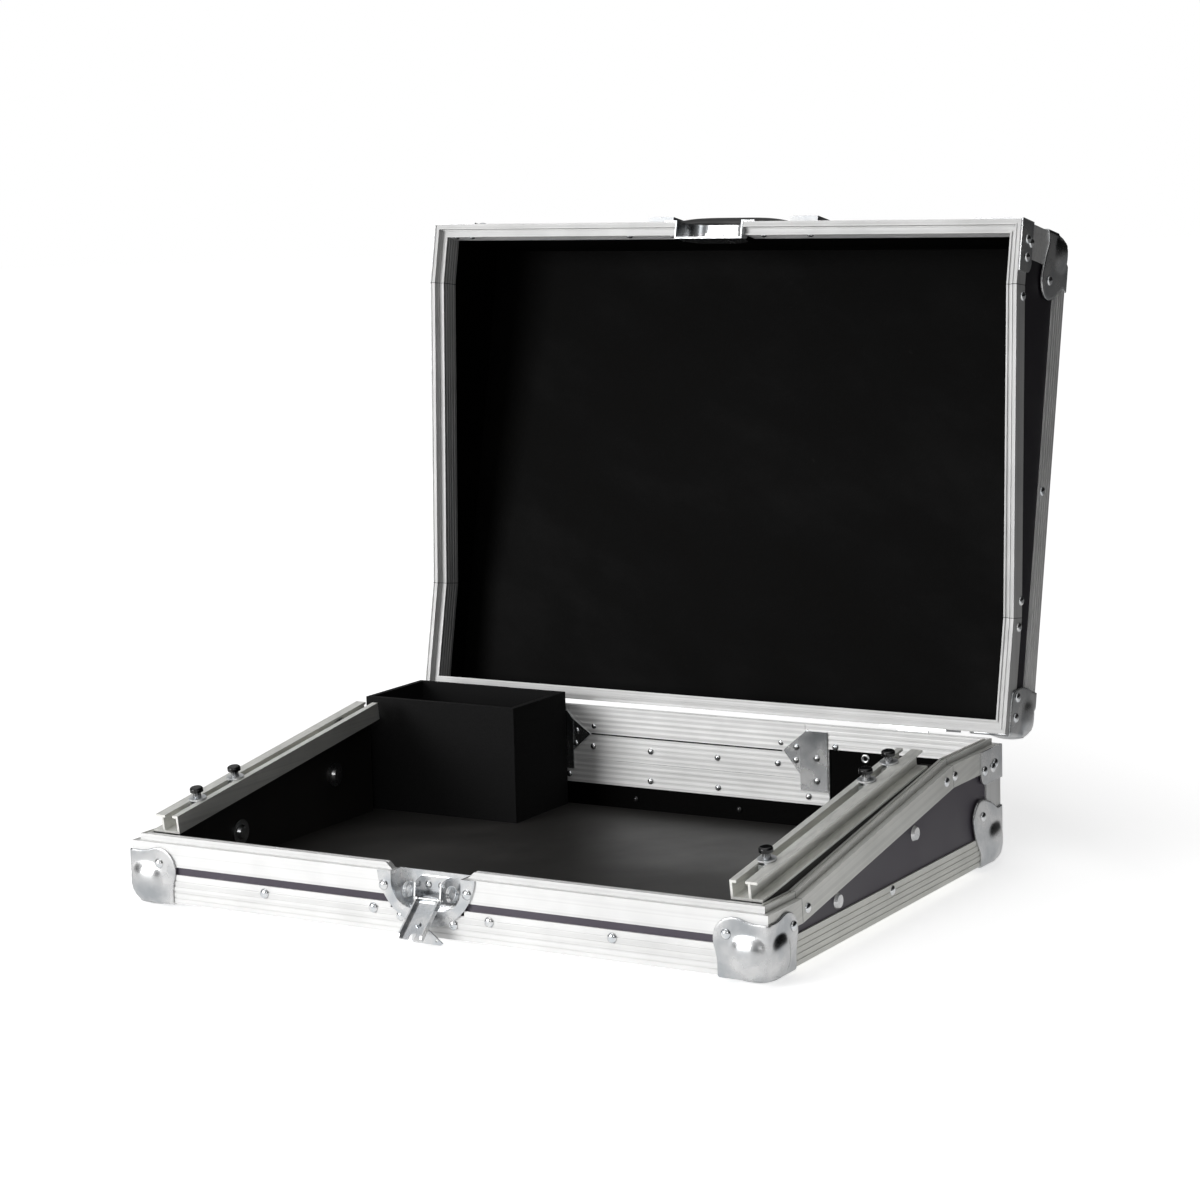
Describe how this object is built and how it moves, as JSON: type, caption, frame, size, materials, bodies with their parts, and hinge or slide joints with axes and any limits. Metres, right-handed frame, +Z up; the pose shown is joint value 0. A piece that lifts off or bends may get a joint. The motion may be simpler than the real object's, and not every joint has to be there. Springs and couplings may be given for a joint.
{
  "type": "lighting controller case",
  "caption": "Sloped flight case for a lighting controller with hinged lid, rack rails, cable flap, latch and handle.",
  "frame": {"origin": "middle of the base's footprint on the plane the case stands on", "axes": "+X to the right seen from the front, -Y towards the front with the latch, +Z up"},
  "size_m": [0.526, 0.5455, 0.4776],
  "materials": {
    "panels": "black laminate over plywood, matt inside",
    "profiles": "satin, ribbed extrusions",
    "steel": "bright zinc plating",
    "screws": "black",
    "compartment": "black coated board",
    "strap": "satin"
  },
  "bodies": {
    "base": {"base_braces": "steel", "base_corner_edges": "profiles", "base_corners": "steel", "base_edge_front": "profiles", "base_edge_rear": "profiles", "base_edge_sides": "profiles", "base_floor": "panels", "base_front_panel": "panels", "base_left_panel": "panels", "base_rear_panel": "panels", "base_right_panel": "panels", "base_rim_front": "profiles", "base_rim_left": "profiles", "base_rim_rear": "profiles", "base_rim_right": "profiles", "compartment": "compartment", "flap_guards": "steel", "flap_hinge_low": "steel", "hinge_base": "steel", "latch_bracket": "steel", "latch_dish": "steel", "opening_frame": "profiles", "rack_rail_left": "profiles", "rack_rail_right": "profiles", "rail_board_left": "panels", "rail_board_right": "panels", "wall_bolts": "steel"},
    "lid": {"handle_caps": "steel", "handle_strap": "strap", "hinge_lid": "steel", "lid_braces": "steel", "lid_corner_edges": "profiles", "lid_corners": "steel", "lid_dish": "steel", "lid_edge_front": "profiles", "lid_edge_rear": "profiles", "lid_edge_sides": "profiles", "lid_front_panel": "panels", "lid_keeper": "steel", "lid_left_panel": "panels", "lid_rear_panel": "panels", "lid_right_panel": "panels", "lid_rim_front": "profiles", "lid_rim_left": "profiles", "lid_rim_rear": "profiles", "lid_rim_right": "profiles", "lid_top_panel": "panels"},
    "cable_flap": {"flap_panel": "panels", "flap_rim": "profiles", "flap_frame": "profiles", "flap_hinge_high": "steel"},
    "latch_link": {"latch_link": "steel"},
    "latch_wing": {"latch_wing": "steel"},
    "rack_screw_1": {"rack_screw_1": "screws"},
    "rack_screw_2": {"rack_screw_2": "screws"},
    "rack_screw_3": {"rack_screw_3": "screws"},
    "rack_screw_4": {"rack_screw_4": "screws"},
    "rack_screw_5": {"rack_screw_5": "screws"},
    "spare_nut": {"spare_nut": "steel"}
  },
  "joints": [
    {"name": "lid_hinge", "type": "hinge", "parent": "base", "child": "lid", "pos_m": [0, 0.1968, 0.0883], "axis": [1, 0, 0], "range_deg": [0, 102]},
    {"name": "flap_hinge", "type": "hinge", "parent": "base", "child": "cable_flap", "pos_m": [-0.00255, 0.191, 0.05145], "axis": [1, 0, 0], "range_deg": [-90, 0]},
    {"name": "latch_pivot", "type": "hinge", "parent": "base", "child": "latch_link", "pos_m": [-0.003, -0.1874, 0.0304], "axis": [1, 0, 0], "range_deg": [-131, 0]},
    {"name": "wing_turn", "type": "hinge", "parent": "latch_link", "child": "latch_wing", "pos_m": [-0.003, -0.20249, 0.01728], "axis": [0, -0.6561, 0.7547], "range_deg": [-20, 35]},
    {"name": "rack_screw_1_slide", "type": "slide", "parent": "base", "child": "rack_screw_1", "axis": [0, 0.9893, 0.1461], "range_m": [-0.024, 0.014]},
    {"name": "rack_screw_2_slide", "type": "slide", "parent": "base", "child": "rack_screw_2", "axis": [0, 0.9893, 0.1461], "range_m": [-0.014, 0.06]},
    {"name": "rack_screw_3_slide", "type": "slide", "parent": "base", "child": "rack_screw_3", "axis": [0, 0.9893, 0.1461], "range_m": [-0.026, 0.066]},
    {"name": "rack_screw_4_slide", "type": "slide", "parent": "base", "child": "rack_screw_4", "axis": [0, 0.9893, 0.1461], "range_m": [-0.07, 0.01]},
    {"name": "rack_screw_5_slide", "type": "slide", "parent": "base", "child": "rack_screw_5", "axis": [0, 0.9893, 0.1461], "range_m": [-0.01, 0.018]},
    {"name": "spare_nut_slide", "type": "slide", "parent": "base", "child": "spare_nut", "axis": [0, 0.9893, 0.1461], "range_m": [-0.06, 0.026]}
  ]
}
